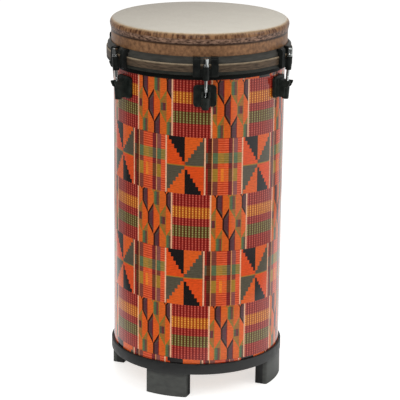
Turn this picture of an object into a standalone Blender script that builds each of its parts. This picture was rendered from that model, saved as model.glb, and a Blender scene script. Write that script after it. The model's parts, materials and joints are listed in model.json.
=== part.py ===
# Floor-standing tube drum with an internal tone tube, key-tuned head and a moulded foot ring.
# Metres, +Z up. The origin is on the drum's axis, on the floor under the feet.

import math

import bmesh
import bpy
from mathutils import Matrix

# Seats and running gaps
SEAT_GAP = 0.0003
ROD_GAP = 0.0005
HOOP_GAP = 0.0005

# Shell and its printed wrap
SHELL_OUTER_RADIUS = 0.1452
SHELL_WALL = 0.0065
SHELL_LENGTH = 0.563
WRAP_THICKNESS = 0.0005
TRIM_WALL = 0.002
TRIM_HEIGHT = 0.0169

# Foot ring, moulded in one piece with its feet
FOOT_COUNT = 4
FIRST_FOOT_ANGLE = 45.0
FOOT_HEIGHT = 0.042
FOOT_WIDTH = 0.074
FOOT_DEPTH = 0.024
FOOT_EDGE = 0.003
RING_FLOOR = 0.0045
RING_WALL = 0.0037
RING_HEIGHT = 0.0185
RING_LIP_CHAMFER = 0.0015

# Baffle and tone tube
BAFFLE_THICKNESS = 0.009
TUBE_OUTER_RADIUS = 0.0635
TUBE_WALL = 0.003
TUBE_LENGTH = 0.33

# Bearing edge ring on top of the shell
CAP_HEIGHT = 0.022
SLEEVE_WALL = 0.0034
BEAD_BULGE = 0.0023
BEAD_RADIUS = 0.0085
BEAD_TAPER = 0.0105
INNER_BEVEL = 0.005

# Drumhead
FILM_THICKNESS = 0.0006
FLESH_HOOP_WALL = 0.0029
FLESH_HOOP_HEIGHT = 0.014
COLLAR_SHOWN = 0.0387

# Tuning hoop
HOOP_HEIGHT = 0.030
HOOP_WALL = 0.0027
HOOP_FLANGE_DEPTH = 0.008
HOOP_RIM_WIDTH = 0.0012
HOOP_CROWN_DROP = 0.0045
HOOP_LIP_WIDTH = 0.0017
HOOP_LIP_HEIGHT = 0.0052
BAND_HEIGHT = 0.0135
BAND_PROUD = 0.0003
TUNING_TRAVEL = 0.003

# Tuning stations
STATION_COUNT = 6
FIRST_STATION_ANGLE = 9.3
ROD_STANDOFF = 0.0091
ROD_LEAN = 4.5

# Hoop claw
CLAW_HALF_WIDTH = 0.0208
CLAW_HALF_GAP = 0.0088
CLAW_WALL = 0.0055
CLAW_RISE = 0.0015
CLAW_NOSE_REACH = 0.0062
CLAW_CHAMFER = 0.004
CLAW_BAR_HEIGHT = 0.013
CLAW_BAR_DROP = 0.0015
BOSS_RADIUS = 0.0053
BOSS_HEIGHT = 0.023
BOSS_RISE = 0.017

# Tuning rod with a square key head, and its washer
ROD_RADIUS = 0.00275
KEY_SQUARE = 0.0064
KEY_HEIGHT = 0.0097
KEY_CHAMFER = 0.0008
ROD_FLANGE_RADIUS = 0.0046
ROD_FLANGE_HEIGHT = 0.002
WASHER_RADIUS = 0.0052
WASHER_THICKNESS = 0.0012
ROD_LENGTH = 0.069

# Lug on the shell, with its threaded insert and two screws
LUG_DROP = 0.0075
PLATE_WIDTH = 0.038
PLATE_HEIGHT = 0.0365
PLATE_THICKNESS = 0.0045
PLATE_CORNER = 0.006
BRACKET_HALF_WIDTH = 0.0075
BRACKET_TOP_DROP = 0.007
BRACKET_ROOT_RISE = 0.003
BRACKET_FOOT_INSET = 0.003
FORK_REACH = 0.0085
FORK_TIP_HEIGHT = 0.0025
FORK_HEIGHT = 0.0105
FORK_SLOT_CLEARANCE = 0.0006
BARREL_RADIUS = 0.0056
BARREL_LENGTH = 0.021
BARREL_SHOULDER = 0.0023
INSERT_RADIUS = 0.004
INSERT_LENGTH = 0.0165
SCREW_RADIUS = 0.002
SCREW_HEAD_RADIUS = 0.0042
SCREW_HEAD_HEIGHT = 0.0026
SCREW_WALL = 0.002
SCREW_HALF_SPACING = 0.0095

# Facets
RING_SEGMENTS = 64
SMALL_SEGMENTS = 16
HOLE_SEGMENTS = 8
BEAD_STEPS = 4
CORNER_STEPS = 2
FOOT_ARC_STEPS = 6
SMOOTH_ANGLE = 40.0
MERGE_DISTANCE = 1e-7

# Heights worked out from the floor up
FLOOR_TOP = FOOT_HEIGHT + RING_FLOOR
SHELL_BOTTOM = FLOOR_TOP + SEAT_GAP
SHELL_TOP = SHELL_BOTTOM + SHELL_LENGTH
RING_TOP = FOOT_HEIGHT + RING_HEIGHT
CAP_BOTTOM = SHELL_TOP + SEAT_GAP
CREST = CAP_BOTTOM + CAP_HEIGHT
BEAD_CENTRE_Z = CREST - BEAD_RADIUS
CREASE = BEAD_CENTRE_Z - BEAD_TAPER
FILM_UNDER = CREST + SEAT_GAP
FILM_TOP = FILM_UNDER + FILM_THICKNESS
HOOP_TOP = FILM_TOP - COLLAR_SHOWN
HOOP_BOTTOM = HOOP_TOP - HOOP_HEIGHT
FLANGE_BOTTOM = HOOP_TOP - HOOP_FLANGE_DEPTH
LIP_TOP = HOOP_BOTTOM + HOOP_LIP_HEIGHT
BAND_BOTTOM = LIP_TOP + SEAT_GAP
BAND_TOP = BAND_BOTTOM + BAND_HEIGHT
FLESH_TOP = FLANGE_BOTTOM - SEAT_GAP
FLESH_BOTTOM = FLESH_TOP - FLESH_HOOP_HEIGHT
SKIRT_BOTTOM = FLESH_BOTTOM + TUNING_TRAVEL
SLEEVE_BOTTOM = FLESH_BOTTOM
TRIM_TOP = SLEEVE_BOTTOM - SEAT_GAP
TRIM_BOTTOM = TRIM_TOP - TRIM_HEIGHT
CLAW_TOP = HOOP_TOP + CLAW_RISE
BAR_BOTTOM = HOOP_BOTTOM - CLAW_BAR_DROP
BAR_TOP = BAR_BOTTOM + CLAW_BAR_HEIGHT
BOSS_TOP = HOOP_BOTTOM + BOSS_RISE
PLATE_TOP = TRIM_BOTTOM - LUG_DROP
PLATE_BOTTOM = PLATE_TOP - PLATE_HEIGHT
FORK_TOP = PLATE_TOP - BRACKET_TOP_DROP
BARREL_TOP = FORK_TOP - FORK_HEIGHT
BARREL_BOTTOM = BARREL_TOP - BARREL_LENGTH
SCREW_MIDDLE = (FORK_TOP + BARREL_BOTTOM + BARREL_SHOULDER) / 2

# Radii worked out from the shell outwards
SHELL_INNER_RADIUS = SHELL_OUTER_RADIUS - SHELL_WALL
WRAP_INNER_RADIUS = SHELL_OUTER_RADIUS + SEAT_GAP
WRAP_OUTER_RADIUS = WRAP_INNER_RADIUS + WRAP_THICKNESS
COVER_RADIUS = WRAP_OUTER_RADIUS + SEAT_GAP
RING_OUTER_RADIUS = COVER_RADIUS + RING_WALL
RING_INNER_RADIUS = RING_OUTER_RADIUS - FOOT_DEPTH
SLEEVE_INNER_RADIUS = SHELL_OUTER_RADIUS + SEAT_GAP
SLEEVE_OUTER_RADIUS = SLEEVE_INNER_RADIUS + SLEEVE_WALL
BEAD_OUTER_RADIUS = SLEEVE_OUTER_RADIUS + BEAD_BULGE
BEAD_CENTRE_RADIUS = BEAD_OUTER_RADIUS - BEAD_RADIUS
COLLAR_INNER_RADIUS = SLEEVE_OUTER_RADIUS + SEAT_GAP
COLLAR_OUTER_RADIUS = COLLAR_INNER_RADIUS + FILM_THICKNESS
FLESH_INNER_RADIUS = COLLAR_OUTER_RADIUS + SEAT_GAP
FLESH_OUTER_RADIUS = FLESH_INNER_RADIUS + FLESH_HOOP_WALL
HOOP_INNER_RADIUS = FLESH_OUTER_RADIUS + SEAT_GAP
HOOP_NECK_RADIUS = HOOP_INNER_RADIUS + HOOP_WALL
HOOP_OUTER_RADIUS = HOOP_NECK_RADIUS + HOOP_LIP_WIDTH
HOOP_RIM_RADIUS = COLLAR_OUTER_RADIUS + HOOP_GAP
BAND_OUTER_RADIUS = HOOP_OUTER_RADIUS + BAND_PROUD
ROD_CIRCLE = HOOP_OUTER_RADIUS + ROD_STANDOFF
ROD_BORE_RADIUS = ROD_RADIUS + ROD_GAP
PLATE_FACE = COVER_RADIUS + PLATE_THICKNESS
SCREW_HEAD_SEAT = SHELL_INNER_RADIUS - SEAT_GAP

# Places along a leaning rod, from the top of its claw's boss
LEAN = math.radians(ROD_LEAN)
WASHER_BOTTOM = SEAT_GAP
ROD_FLANGE_BOTTOM = WASHER_BOTTOM + WASHER_THICKNESS + SEAT_GAP
KEY_BOTTOM = ROD_FLANGE_BOTTOM + ROD_FLANGE_HEIGHT
KEY_TOP = KEY_BOTTOM + KEY_HEIGHT
ROD_BOTTOM = ROD_FLANGE_BOTTOM - ROD_LENGTH
BARREL_START = (BARREL_TOP - BOSS_TOP) / math.cos(LEAN)
BARREL_END = BARREL_START - BARREL_LENGTH
INSERT_TOP = BARREL_START - BARREL_SHOULDER - SEAT_GAP
INSERT_BOTTOM = INSERT_TOP - INSERT_LENGTH

COLOURS = {
    # name: (red, green, blue, roughness, metallic)
    "shell_fibre": (0.16, 0.10, 0.06, 0.75, 0.0),
    "printed_wrap": (0.62, 0.16, 0.05, 0.35, 0.0),
    "black_rubber": (0.03, 0.03, 0.03, 0.6, 0.0),
    "bearing_fibre": (0.20, 0.12, 0.07, 0.7, 0.0),
    "head_film": (0.70, 0.67, 0.58, 0.5, 0.0),
    "black_steel": (0.02, 0.02, 0.02, 0.4, 0.6),
    "bronze_paint": (0.09, 0.075, 0.06, 0.45, 0.3),
    "bare_steel": (0.55, 0.55, 0.55, 0.35, 1.0),
    "chrome": (0.80, 0.80, 0.80, 0.12, 1.0),
    "brass": (0.70, 0.52, 0.22, 0.35, 1.0),
    "board": (0.42, 0.29, 0.17, 0.8, 0.0),
    "paper_tube": (0.33, 0.24, 0.15, 0.85, 0.0),
}


def clear_scene():
    for old in list(bpy.data.objects):
        bpy.data.objects.remove(old)


def finish_named(name):
    found = bpy.data.materials.get(name)
    if found:
        return found
    red, green, blue, roughness, metallic = COLOURS[name]
    made = bpy.data.materials.new(name)
    made.use_nodes = True
    shader = made.node_tree.nodes["Principled BSDF"]
    shader.inputs["Base Color"].default_value = (red, green, blue, 1.0)
    shader.inputs["Roughness"].default_value = roughness
    shader.inputs["Metallic"].default_value = metallic
    return made


def add_object(name, mesh, finish=None, parent=None, turn=0.0):
    made = bpy.data.objects.new(name, mesh)
    bpy.context.scene.collection.objects.link(made)
    made.parent = parent
    made.rotation_euler.z = turn
    if finish and not mesh.materials:
        mesh.materials.append(finish_named(finish))
    return made


def mesh_from(name, shape):
    bmesh.ops.remove_doubles(shape, verts=shape.verts, dist=MERGE_DISTANCE)
    bmesh.ops.recalc_face_normals(shape, faces=shape.faces)
    mesh = bpy.data.meshes.new(name)
    shape.to_mesh(mesh)
    shape.free()
    mesh.shade_smooth()
    mesh.set_sharp_from_angle(angle=math.radians(SMOOTH_ANGLE))
    return mesh


def turned(name, profile, segments=RING_SEGMENTS):
    # A closed outline of (radius, height) points spun once round the Z axis.
    shape = bmesh.new()
    ring = [shape.verts.new((radius, 0.0, height)) for radius, height in profile]
    edges = [shape.edges.new((a, b)) for a, b in zip(ring, ring[1:])]
    if profile[0][0] > 0 or profile[-1][0] > 0:
        edges.append(shape.edges.new((ring[-1], ring[0])))
    turn = {"cent": (0, 0, 0), "axis": (0, 0, 1), "angle": math.tau}
    bmesh.ops.spin(shape, geom=ring + edges, steps=segments, use_merge=True, **turn)
    return mesh_from(name, shape)


def lofted(name, loops):
    # Loops of matching points, joined by side faces and closed by a face at each end.
    shape = bmesh.new()
    rings = [[shape.verts.new(point) for point in loop] for loop in loops]
    for lower, upper in zip(rings, rings[1:]):
        for i in range(len(lower)):
            j = (i + 1) % len(lower)
            shape.faces.new((lower[i], lower[j], upper[j], upper[i]))
    shape.faces.new(rings[0])
    shape.faces.new(rings[-1])
    return mesh_from(name, shape)


def slab(name, outline, half_width):
    # An outline in the radius and height plane, made thick along the tangent.
    return lofted(name, [[(r, t, z) for r, z in outline] for t in (-half_width, half_width)])


def brick(name, low, high):
    (x0, y0, z0), (x1, y1, z1) = low, high
    return lofted(name, [[(x0, y0, z), (x1, y0, z), (x1, y1, z), (x0, y1, z)] for z in (z0, z1)])


def circle(radius, count):
    angles = [math.tau * i / count for i in range(count)]
    return [(radius * math.cos(a), radius * math.sin(a)) for a in angles]


def post(name, radius, bottom, top, segments=SMALL_SEGMENTS):
    return lofted(name, [[(x, y, z) for x, y in circle(radius, segments)] for z in (bottom, top)])


def rod_frame():
    # From a rod's own axis to the station at +X: out to the rod circle, then leaning outwards.
    return Matrix.Translation((ROD_CIRCLE, 0.0, BOSS_TOP)) @ Matrix.Rotation(LEAN, 4, "Y")


def on_rod(mesh):
    mesh.transform(rod_frame())
    return mesh


def rod_radius_at(height):
    return ROD_CIRCLE + (height - BOSS_TOP) * math.tan(LEAN)


def radial_pin(name, radius, inner, outer, height, segments=HOLE_SEGMENTS):
    # A round pin that points outwards along +X.
    outline = circle(radius, segments)
    return lofted(name, [[(x, y, height + z) for y, z in outline] for x in (inner, outer)])


def arc(centre_r, centre_z, radius, start, end, steps):
    angles = [math.radians(start + (end - start) * i / steps) for i in range(steps + 1)]
    return [(centre_r + radius * math.cos(a), centre_z + radius * math.sin(a)) for a in angles]


def combined(name, base, added=(), removed=()):
    # The base mesh with others joined to it and cut from it, as one plain mesh.
    body = add_object(name, base)
    helpers = []
    for operation, meshes in (("UNION", added), ("DIFFERENCE", removed)):
        for mesh in meshes:
            helper = add_object(name + "_helper", mesh)
            helper.hide_render = True
            helper.display_type = "WIRE"
            helpers.append(helper)
            step = body.modifiers.new(operation.title(), "BOOLEAN")
            step.operation = operation
            step.object = helper
    bpy.context.view_layer.update()
    graph = bpy.context.evaluated_depsgraph_get()
    mesh = bpy.data.meshes.new_from_object(body.evaluated_get(graph))
    mesh.name = name
    for spent in [body, *helpers]:
        bpy.data.objects.remove(spent)
    mesh.materials.clear()
    mesh.shade_smooth()
    mesh.set_sharp_from_angle(angle=math.radians(SMOOTH_ANGLE))
    return mesh


def station_turns():
    step = math.tau / STATION_COUNT
    return [math.radians(FIRST_STATION_ANGLE) + step * i for i in range(STATION_COUNT)]


def screw_heights():
    return (SCREW_MIDDLE - SCREW_HALF_SPACING, SCREW_MIDDLE + SCREW_HALF_SPACING)


def screw_tip():
    # The screws stop short of the pocket that holds the insert.
    return rod_radius_at(BARREL_BOTTOM) - INSERT_RADIUS - SEAT_GAP - SCREW_WALL


def screw_hole_pins(inner, outer):
    # One pin for each lug screw, as the cutter of a shell or wrap.
    pins = []
    for turn in station_turns():
        for height in screw_heights():
            pin = radial_pin("screw_hole", SCREW_RADIUS + SEAT_GAP, inner, outer, height)
            pin.transform(Matrix.Rotation(turn, 4, "Z"))
            pins.append(pin)
    return pins


def tube_profile(inner, outer, bottom, top):
    return [(outer, top), (outer, bottom), (inner, bottom), (inner, top)]


def make_shell():
    margin = SHELL_WALL
    wall = turned("shell", tube_profile(SHELL_INNER_RADIUS, SHELL_OUTER_RADIUS, SHELL_BOTTOM, SHELL_TOP))
    holes = screw_hole_pins(SHELL_INNER_RADIUS - margin, SHELL_OUTER_RADIUS + margin)
    add_object("shell", combined("shell", wall, removed=holes), "shell_fibre")

    wrap = turned("shell_wrap", tube_profile(WRAP_INNER_RADIUS, WRAP_OUTER_RADIUS, SHELL_BOTTOM, TRIM_TOP))
    holes = screw_hole_pins(SHELL_INNER_RADIUS, WRAP_OUTER_RADIUS + margin)
    add_object("shell_wrap", combined("shell_wrap", wrap, removed=holes), "printed_wrap")

    trim = tube_profile(COVER_RADIUS, COVER_RADIUS + TRIM_WALL, TRIM_BOTTOM, TRIM_TOP)
    add_object("upper_trim_band", turned("upper_trim_band", trim), "black_rubber")


def foot_loop(inset, height):
    # One foot seen from above: a round outer face, straight sides and a straight inner face.
    outer = RING_OUTER_RADIUS - inset
    half = FOOT_WIDTH / 2 - inset
    reach = math.asin(half / outer)
    angles = [reach * (2 * i / FOOT_ARC_STEPS - 1) for i in range(FOOT_ARC_STEPS + 1)]
    inner = RING_INNER_RADIUS + inset
    points = [(outer * math.cos(a), outer * math.sin(a)) for a in angles] + [(inner, half), (inner, -half)]
    return [(x, y, height) for x, y in points]


def make_foot_ring():
    profile = [
        (COVER_RADIUS, RING_TOP),
        (RING_OUTER_RADIUS - RING_LIP_CHAMFER, RING_TOP),
        (RING_OUTER_RADIUS, RING_TOP - RING_LIP_CHAMFER),
        (RING_OUTER_RADIUS, FOOT_HEIGHT),
        (RING_INNER_RADIUS, FOOT_HEIGHT),
        (RING_INNER_RADIUS, FLOOR_TOP),
        (COVER_RADIUS, FLOOR_TOP),
    ]
    feet = []
    for i in range(FOOT_COUNT):
        levels = ((FOOT_EDGE, 0.0), (0.0, FOOT_EDGE), (0.0, FOOT_HEIGHT + RING_FLOOR / 2))
        foot = lofted("foot", [foot_loop(inset, height) for inset, height in levels])
        foot.transform(Matrix.Rotation(math.radians(FIRST_FOOT_ANGLE) + math.tau * i / FOOT_COUNT, 4, "Z"))
        feet.append(foot)
    add_object("foot_ring", combined("foot_ring", turned("foot_ring", profile), added=feet), "black_rubber")


def make_tone_tube():
    hole = TUBE_OUTER_RADIUS + SEAT_GAP
    rim = SHELL_INNER_RADIUS - SEAT_GAP
    disc = tube_profile(hole, rim, SHELL_BOTTOM, SHELL_BOTTOM + BAFFLE_THICKNESS)
    add_object("baffle_plate", turned("baffle_plate", disc), "board")
    bore = TUBE_OUTER_RADIUS - TUBE_WALL
    tube = tube_profile(bore, TUBE_OUTER_RADIUS, SHELL_BOTTOM, SHELL_BOTTOM + TUBE_LENGTH)
    add_object("tone_tube", turned("tone_tube", tube), "paper_tube")


def make_bearing_ring():
    profile = [
        (SLEEVE_INNER_RADIUS, CAP_BOTTOM),
        (SHELL_INNER_RADIUS, CAP_BOTTOM),
        (SHELL_INNER_RADIUS, CREST - INNER_BEVEL),
        *reversed(arc(BEAD_CENTRE_RADIUS, BEAD_CENTRE_Z, BEAD_RADIUS, 0, 90, BEAD_STEPS)),
        (SLEEVE_OUTER_RADIUS, CREASE),
        (SLEEVE_OUTER_RADIUS, SLEEVE_BOTTOM),
        (SLEEVE_INNER_RADIUS, SLEEVE_BOTTOM),
    ]
    add_object("bearing_ring", turned("bearing_ring", profile), "bearing_fibre")


def make_drumhead(moving):
    under = BEAD_RADIUS + SEAT_GAP
    over = under + FILM_THICKNESS
    profile = [
        (0.0, FILM_TOP),
        *reversed(arc(BEAD_CENTRE_RADIUS, BEAD_CENTRE_Z, over, 0, 90, BEAD_STEPS)),
        (COLLAR_OUTER_RADIUS, CREASE),
        (COLLAR_OUTER_RADIUS, SKIRT_BOTTOM),
        (COLLAR_INNER_RADIUS, SKIRT_BOTTOM),
        (COLLAR_INNER_RADIUS, CREASE),
        *arc(BEAD_CENTRE_RADIUS, BEAD_CENTRE_Z, under, 0, 90, BEAD_STEPS),
        (0.0, FILM_UNDER),
    ]
    add_object("head_film", turned("head_film", profile), "head_film")
    crimp = tube_profile(FLESH_INNER_RADIUS, FLESH_OUTER_RADIUS, FLESH_BOTTOM, FLESH_TOP)
    add_object("flesh_hoop", turned("flesh_hoop", crimp), "bare_steel", moving)


def make_tuning_hoop(moving):
    profile = [
        (HOOP_RIM_RADIUS, HOOP_TOP),
        (HOOP_RIM_RADIUS + HOOP_RIM_WIDTH, HOOP_TOP),
        (HOOP_NECK_RADIUS, HOOP_TOP - HOOP_CROWN_DROP),
        (HOOP_NECK_RADIUS, LIP_TOP),
        (HOOP_OUTER_RADIUS, LIP_TOP),
        (HOOP_OUTER_RADIUS, HOOP_BOTTOM),
        (HOOP_INNER_RADIUS, HOOP_BOTTOM),
        (HOOP_INNER_RADIUS, FLANGE_BOTTOM),
        (HOOP_RIM_RADIUS, FLANGE_BOTTOM),
    ]
    add_object("tuning_hoop", turned("tuning_hoop", profile), "black_steel", moving)
    band = tube_profile(HOOP_NECK_RADIUS + SEAT_GAP, BAND_OUTER_RADIUS, BAND_BOTTOM, BAND_TOP)
    add_object("hoop_band", turned("hoop_band", band), "bronze_paint", moving)


def hoop_envelope():
    # The hoop and its band with a seat gap all round, filled to well inside the rim.
    face = BAND_OUTER_RADIUS + SEAT_GAP
    neck = HOOP_NECK_RADIUS + SEAT_GAP
    core = HOOP_RIM_RADIUS - HOOP_WALL
    profile = [
        (HOOP_RIM_RADIUS + HOOP_RIM_WIDTH, HOOP_TOP + SEAT_GAP),
        (neck, HOOP_TOP - HOOP_CROWN_DROP + SEAT_GAP),
        (neck, BAND_TOP + SEAT_GAP),
        (face, BAND_TOP + SEAT_GAP),
        (face, BAR_BOTTOM - HOOP_WALL),
        (core, BAR_BOTTOM - HOOP_WALL),
        (core, HOOP_TOP + SEAT_GAP),
    ]
    return turned("hoop_envelope", profile)


def claw_mesh():
    back = HOOP_INNER_RADIUS
    face = BAND_OUTER_RADIUS + SEAT_GAP + CLAW_WALL
    nose = BAND_OUTER_RADIUS - CLAW_NOSE_REACH
    hook = [
        (nose, BAR_BOTTOM),
        (face, BAR_BOTTOM),
        (face, CLAW_TOP - CLAW_CHAMFER),
        (face - CLAW_CHAMFER, CLAW_TOP),
        (nose, CLAW_TOP),
    ]
    prong_half = (CLAW_HALF_WIDTH - CLAW_HALF_GAP) / 2
    prong_middle = (CLAW_HALF_WIDTH + CLAW_HALF_GAP) / 2
    prongs = []
    for side in (-1, 1):
        prong = slab("prong", hook, prong_half)
        prong.transform(Matrix.Translation((0.0, side * prong_middle, 0.0)))
        prongs.append(prong)
    bar = brick("bar", (back, -prong_middle, BAR_BOTTOM), (face - CLAW_CHAMFER / 4, prong_middle, BAR_TOP))
    web_half = BOSS_RADIUS * math.cos(math.pi / SMALL_SEGMENTS) - SEAT_GAP
    web_low, web_high = BAR_BOTTOM + SEAT_GAP, BAR_TOP - SEAT_GAP
    web = brick("web", (back, -web_half, web_low), (rod_radius_at(web_low), web_half, web_high))
    boss = on_rod(post("boss", BOSS_RADIUS, -BOSS_HEIGHT, 0.0))
    bore = on_rod(post("bore", ROD_BORE_RADIUS, -2 * BOSS_HEIGHT, BOSS_HEIGHT))
    return combined("claw", bar, [*prongs, web, boss], [hoop_envelope(), bore])


def washer_mesh():
    top = WASHER_BOTTOM + WASHER_THICKNESS
    disc = post("disc", WASHER_RADIUS, WASHER_BOTTOM, top)
    hole = post("hole", ROD_BORE_RADIUS, WASHER_BOTTOM - WASHER_THICKNESS, top + WASHER_THICKNESS)
    return combined("washer", disc, removed=[hole])


def square_loop(side, count):
    # Points round a square at the same angles as a circle's.
    loop = []
    for x, y in circle(1.0, count):
        stretch = side / 2 / max(abs(x), abs(y))
        loop.append((x * stretch, y * stretch))
    return loop


def rod_mesh():
    shank = circle(ROD_RADIUS, SMALL_SEGMENTS)
    flange = circle(ROD_FLANGE_RADIUS, SMALL_SEGMENTS)
    key = square_loop(KEY_SQUARE, SMALL_SEGMENTS)
    tip = square_loop(KEY_SQUARE - 2 * KEY_CHAMFER, SMALL_SEGMENTS)
    levels = [
        (shank, ROD_BOTTOM),
        (shank, ROD_FLANGE_BOTTOM),
        (flange, ROD_FLANGE_BOTTOM),
        (flange, KEY_BOTTOM),
        (key, KEY_BOTTOM),
        (key, KEY_TOP - KEY_CHAMFER),
        (tip, KEY_TOP),
    ]
    return lofted("tuning_rod", [[(x, y, z) for x, y in loop] for loop, z in levels])


def rounded_plate():
    half_width = PLATE_WIDTH / 2
    half_height = PLATE_HEIGHT / 2
    middle = (PLATE_TOP + PLATE_BOTTOM) / 2
    outline = []
    for quarter, (side, up) in enumerate(((1, 1), (-1, 1), (-1, -1), (1, -1))):
        centre = (side * (half_width - PLATE_CORNER), middle + up * (half_height - PLATE_CORNER))
        outline += arc(*centre, PLATE_CORNER, 90 * quarter, 90 * quarter + 90, CORNER_STEPS)
    back = SHELL_INNER_RADIUS
    return lofted("plate", [[(x, t, z) for t, z in outline] for x in (back, PLATE_FACE)])


def lug_mesh():
    root = COVER_RADIUS
    tip = rod_radius_at(FORK_TOP) + FORK_REACH
    foot = BARREL_BOTTOM + BRACKET_FOOT_INSET
    bracket = [
        (root, FORK_TOP + BRACKET_ROOT_RISE),
        (PLATE_FACE, FORK_TOP + BRACKET_ROOT_RISE),
        (rod_radius_at(FORK_TOP) - BARREL_RADIUS, FORK_TOP),
        (tip, FORK_TOP),
        (tip, FORK_TOP - FORK_TIP_HEIGHT),
        (rod_radius_at(BARREL_TOP) + BARREL_RADIUS, BARREL_TOP),
        (rod_radius_at(BARREL_TOP), BARREL_TOP - BARREL_SHOULDER / 2),
        (rod_radius_at(foot), foot),
        (root, foot),
    ]
    arm = slab("arm", bracket, BRACKET_HALF_WIDTH)
    barrel = on_rod(post("barrel", BARREL_RADIUS, BARREL_END, BARREL_START))
    slot_half = ROD_BORE_RADIUS + FORK_SLOT_CLEARANCE
    beyond = FORK_HEIGHT + FORK_REACH
    slot_low = (-slot_half, -slot_half, BARREL_START)
    slot = on_rod(brick("slot", slot_low, (beyond, slot_half, BARREL_START + beyond)))
    through = on_rod(post("through", ROD_BORE_RADIUS, BARREL_END - beyond, BARREL_START + beyond))
    pocket = on_rod(post("pocket", INSERT_RADIUS + SEAT_GAP, BARREL_END - beyond, INSERT_TOP + SEAT_GAP))
    seat = post("seat", COVER_RADIUS, PLATE_BOTTOM - beyond, PLATE_TOP + beyond, segments=2 * RING_SEGMENTS)
    holes = [
        radial_pin("hole", SCREW_RADIUS + SEAT_GAP, SHELL_INNER_RADIUS, screw_tip() + SEAT_GAP, height)
        for height in screw_heights()
    ]
    return combined("lug", rounded_plate(), [arm, barrel], [slot, through, pocket, seat, *holes])


def insert_mesh():
    body = post("body", INSERT_RADIUS, INSERT_BOTTOM, INSERT_TOP)
    bore = post("bore", ROD_BORE_RADIUS, INSERT_BOTTOM - INSERT_LENGTH, INSERT_TOP + INSERT_LENGTH)
    return combined("insert", body, removed=[bore])


def screw_mesh(height):
    head = circle(SCREW_HEAD_RADIUS, HOLE_SEGMENTS)
    shank = circle(SCREW_RADIUS, HOLE_SEGMENTS)
    stations = [
        (head, SCREW_HEAD_SEAT - SCREW_HEAD_HEIGHT),
        (head, SCREW_HEAD_SEAT),
        (shank, SCREW_HEAD_SEAT),
        (shank, screw_tip()),
    ]
    return lofted("screw", [[(x, y, height + z) for y, z in loop] for loop, x in stations])


def make_stations(moving):
    claw, washer, rod = claw_mesh(), washer_mesh(), rod_mesh()
    lug, insert = lug_mesh(), insert_mesh()
    screws = [screw_mesh(height) for height in screw_heights()]
    for number, turn in enumerate(station_turns(), start=1):
        axis = bpy.data.objects.new(f"rod_axis_{number}", None)
        bpy.context.scene.collection.objects.link(axis)
        axis.location = (ROD_CIRCLE * math.cos(turn), ROD_CIRCLE * math.sin(turn), BOSS_TOP)
        axis.rotation_euler = (0.0, LEAN, turn)
        add_object(f"claw_{number}", claw, "black_steel", moving, turn)
        add_object(f"rod_washer_{number}", washer, "chrome", axis)
        add_object(f"tuning_rod_{number}", rod, "chrome", axis)
        add_object(f"lug_{number}", lug, "black_steel", turn=turn)
        add_object(f"lug_insert_{number}", insert, "brass", axis)
        for place, screw in zip(("lower", "upper"), screws):
            add_object(f"lug_screw_{number}_{place}", screw, "bare_steel", turn=turn)


def main():
    clear_scene()
    moving = bpy.data.objects.new("hoop_slide", None)
    bpy.context.scene.collection.objects.link(moving)
    make_shell()
    make_foot_ring()
    make_tone_tube()
    make_bearing_ring()
    make_drumhead(moving)
    make_tuning_hoop(moving)
    make_stations(moving)


main()
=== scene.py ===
# Looks of a floor-standing tube drum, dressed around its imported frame. Sizes are in millimetres unless said.
import json
import math
from functools import partial

import bmesh
import bpy
from mathutils import Matrix, Vector


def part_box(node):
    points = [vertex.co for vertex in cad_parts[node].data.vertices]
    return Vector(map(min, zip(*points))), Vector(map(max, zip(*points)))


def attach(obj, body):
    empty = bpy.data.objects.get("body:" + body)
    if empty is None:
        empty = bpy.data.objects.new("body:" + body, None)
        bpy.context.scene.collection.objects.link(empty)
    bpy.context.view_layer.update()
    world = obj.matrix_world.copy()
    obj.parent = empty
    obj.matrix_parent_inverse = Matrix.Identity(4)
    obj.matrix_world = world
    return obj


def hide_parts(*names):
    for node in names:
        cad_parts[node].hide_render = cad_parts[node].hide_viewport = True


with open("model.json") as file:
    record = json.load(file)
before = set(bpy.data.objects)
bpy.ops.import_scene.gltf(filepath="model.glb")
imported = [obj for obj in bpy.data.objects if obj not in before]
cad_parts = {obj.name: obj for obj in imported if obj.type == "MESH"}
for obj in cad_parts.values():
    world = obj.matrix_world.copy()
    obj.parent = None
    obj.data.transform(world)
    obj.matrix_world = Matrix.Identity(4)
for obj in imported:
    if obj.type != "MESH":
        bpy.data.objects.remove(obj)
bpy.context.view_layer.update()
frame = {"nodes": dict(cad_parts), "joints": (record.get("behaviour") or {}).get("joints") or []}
mm = 0.001
print("frame:", len(frame["nodes"]), "nodes")


def boxOf(node):  # a node's lowest and highest corner in millimetres
    low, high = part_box(node)
    return low / mm, high / mm


# Modelling


def selectOnly(piece):  # an operator acts on all that is selected
    bpy.ops.object.select_all(action="DESELECT")
    piece.select_set(True)
    bpy.context.view_layer.objects.active = piece


def drawOutline(name, points, closed=True):  # one vertex pushed from point to point
    bpy.ops.object.select_all(action="DESELECT")
    bpy.ops.mesh.primitive_plane_add(size=mm)
    piece = bpy.context.object
    piece.name = piece.data.name = name
    bpy.ops.object.mode_set(mode="EDIT")
    bpy.ops.mesh.select_mode(type="VERT")
    bpy.ops.mesh.merge(type="CENTER")
    bpy.ops.transform.translate(value=Vector(points[0]) * mm)
    for here, there in zip(points, points[1:]):
        push = (Vector(there) - Vector(here)) * mm
        bpy.ops.mesh.extrude_region_move(TRANSFORM_OT_translate={"value": push})
    if closed:
        drawn = bmesh.from_edit_mesh(piece.data)
        drawn.verts.ensure_lookup_table()
        drawn.verts[0].select_set(True)  # the last one is selected already
        bpy.ops.mesh.edge_face_add()
    bpy.ops.mesh.select_all(action="SELECT")
    return piece


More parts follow.
